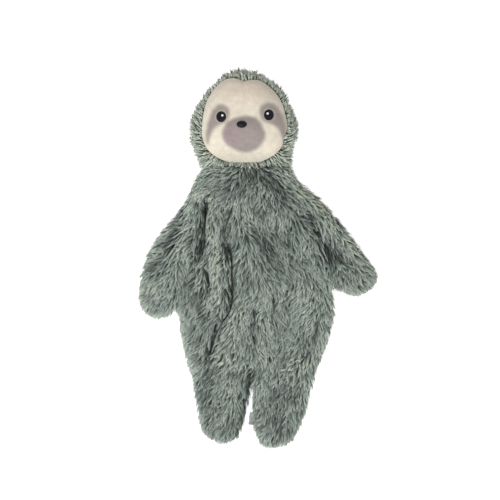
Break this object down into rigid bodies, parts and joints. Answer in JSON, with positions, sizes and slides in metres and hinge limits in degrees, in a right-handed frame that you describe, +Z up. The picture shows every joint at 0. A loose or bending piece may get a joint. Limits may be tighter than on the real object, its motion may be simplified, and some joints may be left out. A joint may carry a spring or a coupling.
{
  "type": "plush sloth",
  "caption": "Floppy plush sloth lying on its back: stuffed head with a smooth face panel in a fur hood, flat long-pile body, arms and legs hinged at sewn seams.",
  "frame": {"origin": "middle of the underside's bounding box, on the surface that the toy lies on", "axes": "+X to the toy's left side, +Y to the top of its head, +Z up from the surface, out of its front"},
  "size_m": [0.2384, 0.377, 0.0632],
  "materials": {
    "long_pile_fur": "long-pile faux fur, grey-green with pale tips",
    "face_cloth": "short-pile cream face cloth, printed grey patches",
    "black_thread": "satin-stitch embroidery",
    "white_thread": "satin-stitch embroidery",
    "seam_allowance": "rolled fabric edge",
    "fibre_filling": "loose polyester fibre",
    "label_ribbon": "bare woven ribbon"
  },
  "bodies": {
    "torso": {"torso_front_panel": "long_pile_fur", "torso_back_panel": "long_pile_fur", "neck_seam": "seam_allowance", "arm_right_seam": "seam_allowance", "arm_left_seam": "seam_allowance", "leg_right_seam": "seam_allowance", "leg_left_seam": "seam_allowance"},
    "head": {"head_hood_panel": "long_pile_fur", "head_back_panel": "long_pile_fur", "face_panel": "face_cloth", "head_filling": "fibre_filling", "eye_right": "black_thread", "eye_left": "black_thread", "eye_glint_right": "white_thread", "eye_glint_left": "white_thread", "nose": "black_thread"},
    "arm_right": {"arm_right_front_panel": "long_pile_fur", "arm_right_back_panel": "long_pile_fur"},
    "arm_left": {"arm_left_front_panel": "long_pile_fur", "arm_left_back_panel": "long_pile_fur"},
    "leg_right": {"leg_right_front_panel": "long_pile_fur", "leg_right_back_panel": "long_pile_fur"},
    "leg_left": {"leg_left_front_panel": "long_pile_fur", "leg_left_back_panel": "long_pile_fur", "sewn_in_label": "label_ribbon"}
  },
  "joints": [
    {"name": "neck_nod", "type": "hinge", "parent": "torso", "child": "head", "pos_m": [-0.01153, 0.09055, 0.013], "axis": [1, 0, 0], "range_deg": [-75, 60]},
    {"name": "arm_right_fold", "type": "hinge", "parent": "torso", "child": "arm_right", "pos_m": [-0.06697, 0.01903, 0.013], "axis": [0.1607, 0.987, 0], "range_deg": [-80, 100]},
    {"name": "arm_left_fold", "type": "hinge", "parent": "torso", "child": "arm_left", "pos_m": [0.05407, 0.02931, 0.013], "axis": [0.3409, -0.9401, 0], "range_deg": [-80, 100]},
    {"name": "leg_right_fold", "type": "hinge", "parent": "torso", "child": "leg_right", "pos_m": [-0.03673, -0.12345, 0.013], "axis": [-1, 0, 0], "range_deg": [-80, 100]},
    {"name": "leg_left_fold", "type": "hinge", "parent": "torso", "child": "leg_left", "pos_m": [0.02291, -0.12345, 0.013], "axis": [-1, 0, 0], "range_deg": [-80, 100]}
  ]
}
